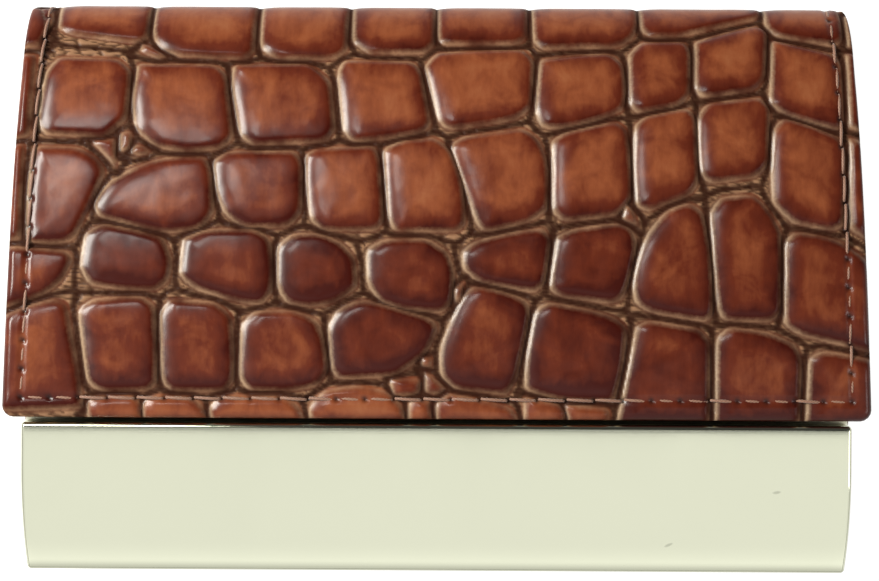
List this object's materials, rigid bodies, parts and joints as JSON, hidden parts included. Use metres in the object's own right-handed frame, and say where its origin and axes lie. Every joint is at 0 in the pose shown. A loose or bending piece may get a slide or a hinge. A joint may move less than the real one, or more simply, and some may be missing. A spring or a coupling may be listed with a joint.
{
  "type": "business card case",
  "caption": "Slim business card case: a polished steel card tray in a sewn, crocodile-embossed brown leather cover whose front flap opens on a soft spine.",
  "frame": {"origin": "middle of the back face's plane, under the middle of the closed case", "axes": "case lying on its back: +X across its width, +Y towards the spine, +Z out of the front of the flap"},
  "size_m": [0.096, 0.064, 0.013],
  "materials": {
    "cover_leather": "glossy crocodile-embossed leather, reddish brown with tan rims",
    "thread": "twisted polyester sewing thread, pinkish tan",
    "lining": "smooth fine-grained dark brown lining",
    "board": "pressed grey-brown stiffener board",
    "steel": "polished stainless steel with a pale warm cast",
    "magnet": "nickel-plated magnet",
    "tape": "double-sided tissue tape",
    "pad": "thin black felt"
  },
  "bodies": {
    "case": {"back_leather": "cover_leather", "back_board": "board", "back_lining": "lining", "back_needle_thread": "thread", "back_bobbin_thread": "thread", "mounting_tape": "tape", "tray_back": "steel", "tray_front": "steel", "left_end_cap": "steel", "right_end_cap": "steel", "card_pad": "pad", "left_tray_magnet": "magnet", "right_tray_magnet": "magnet"},
    "flap": {"flap_leather": "cover_leather", "flap_board": "board", "flap_lining": "lining", "left_flap_magnet": "magnet", "right_flap_magnet": "magnet", "flap_needle_thread": "thread", "flap_bobbin_thread": "thread"}
  },
  "joints": [
    {"name": "flap_hinge", "type": "hinge", "parent": "case", "child": "flap", "pos_m": [0, 0.032, 0.003], "axis": [-1, 0, 0], "range_deg": [0, 150]}
  ]
}
